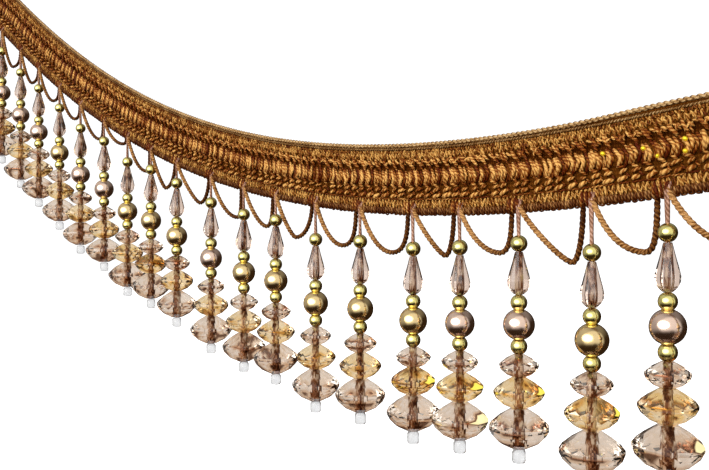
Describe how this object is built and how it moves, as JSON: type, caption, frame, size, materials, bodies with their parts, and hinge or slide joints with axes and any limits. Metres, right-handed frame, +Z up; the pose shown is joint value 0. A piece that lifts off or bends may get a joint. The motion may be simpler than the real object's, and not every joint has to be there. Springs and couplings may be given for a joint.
{
  "type": "beaded fringe trim",
  "caption": "Gimp braid trim hanging in a shallow swag, edged with scalloped loops of twisted cord and strings of faceted and metallic beads on threads.",
  "frame": {"origin": "middle of the heading's top edge, in the plane of its back", "axes": "+X along the trim to the right as seen from its front, +Y out of its back, +Z up as it hangs"},
  "size_m": [0.3929, 0.0256, 0.1928],
  "materials": {
    "braid": "silky rayon yarn, caramel brown with golden lights",
    "cord": "silky twisted cord, caramel brown",
    "beads_gold": "champagne and amber faceted acrylic with pale gold metallic balls",
    "beads_rose": "champagne and amber faceted acrylic with a rose gold metallic ball"
  },
  "bodies": {
    "root": {"braid_heading": "braid", "loop_fringe": "cord", "bead_drop_01": "beads_gold", "bead_drop_02": "beads_rose", "bead_drop_03": "beads_rose", "bead_drop_04": "beads_rose", "bead_drop_05": "beads_gold", "bead_drop_06": "beads_rose", "bead_drop_07": "beads_rose", "bead_drop_08": "beads_gold", "bead_drop_09": "beads_gold", "bead_drop_10": "beads_gold", "bead_drop_11": "beads_rose", "bead_drop_12": "beads_gold", "bead_drop_13": "beads_gold", "bead_drop_14": "beads_gold", "bead_drop_15": "beads_gold", "bead_drop_16": "beads_gold", "bead_drop_17": "beads_rose", "bead_drop_18": "beads_rose", "bead_drop_19": "beads_gold", "bead_drop_20": "beads_rose", "bead_drop_21": "beads_gold"}
  },
  "joints": []
}
